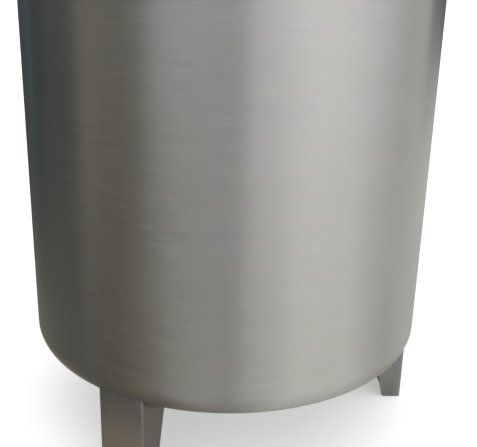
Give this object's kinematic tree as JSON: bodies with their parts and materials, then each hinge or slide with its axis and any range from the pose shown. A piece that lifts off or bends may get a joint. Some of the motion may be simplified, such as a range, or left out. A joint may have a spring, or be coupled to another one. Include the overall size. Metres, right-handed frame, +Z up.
{
  "type": "vertical storage tank",
  "caption": "Vertical stainless storage tank with dished ends, folded plate legs, a top manway, clamped inlet and vent ports, a bottom outlet and lifting lugs.",
  "frame": {"origin": "on the floor under the middle of the tank, on the tank's axis", "axes": "+Z runs up along the tank's axis. The front leg faces -Y, and +X is to the right of someone who faces the front leg."},
  "size_m": [1, 1, 1.8446],
  "materials": {
    "tank_steel": "brushed round the tank, with fine scratches",
    "leg_steel": "brushed along the leg, duller than the tank",
    "fitting_steel": "turned and polished",
    "gasket_rubber": "matt black"
  },
  "bodies": {
    "root": {"shell": "tank_steel", "bottom_head": "tank_steel", "top_head": "tank_steel", "leg_front": "leg_steel", "leg_back_right": "leg_steel", "leg_back_left": "leg_steel", "foot_plate_front": "leg_steel", "foot_plate_back_right": "leg_steel", "foot_plate_back_left": "leg_steel", "inlet_neck": "fitting_steel", "inlet_gasket": "gasket_rubber", "inlet_cap": "fitting_steel", "inlet_clamp": "fitting_steel", "inlet_clamp_screw": "fitting_steel", "vent_neck": "fitting_steel", "vent_gasket": "gasket_rubber", "vent_hood": "fitting_steel", "vent_clamp": "fitting_steel", "vent_clamp_screw": "fitting_steel", "outlet_neck": "fitting_steel", "outlet_gasket": "gasket_rubber", "outlet_cap": "fitting_steel", "outlet_clamp": "fitting_steel", "outlet_clamp_screw": "fitting_steel", "manway_neck": "tank_steel", "manway_gasket": "gasket_rubber", "manway_lid": "tank_steel", "manway_bolt_bracket_1": "fitting_steel", "manway_bolt_bracket_2": "fitting_steel", "manway_bolt_bracket_3": "fitting_steel", "manway_swing_bolt_1": "fitting_steel", "manway_swing_bolt_2": "fitting_steel", "manway_swing_bolt_3": "fitting_steel", "manway_wing_nut_1": "fitting_steel", "manway_wing_nut_2": "fitting_steel", "manway_wing_nut_3": "fitting_steel", "manway_hinge_bracket": "fitting_steel", "manway_hinge_strap": "fitting_steel", "manway_hinge_pin": "fitting_steel", "manway_handle": "fitting_steel", "lifting_lug_front": "tank_steel", "lifting_lug_back_right": "tank_steel", "lifting_lug_back_left": "tank_steel"}
  },
  "joints": []
}
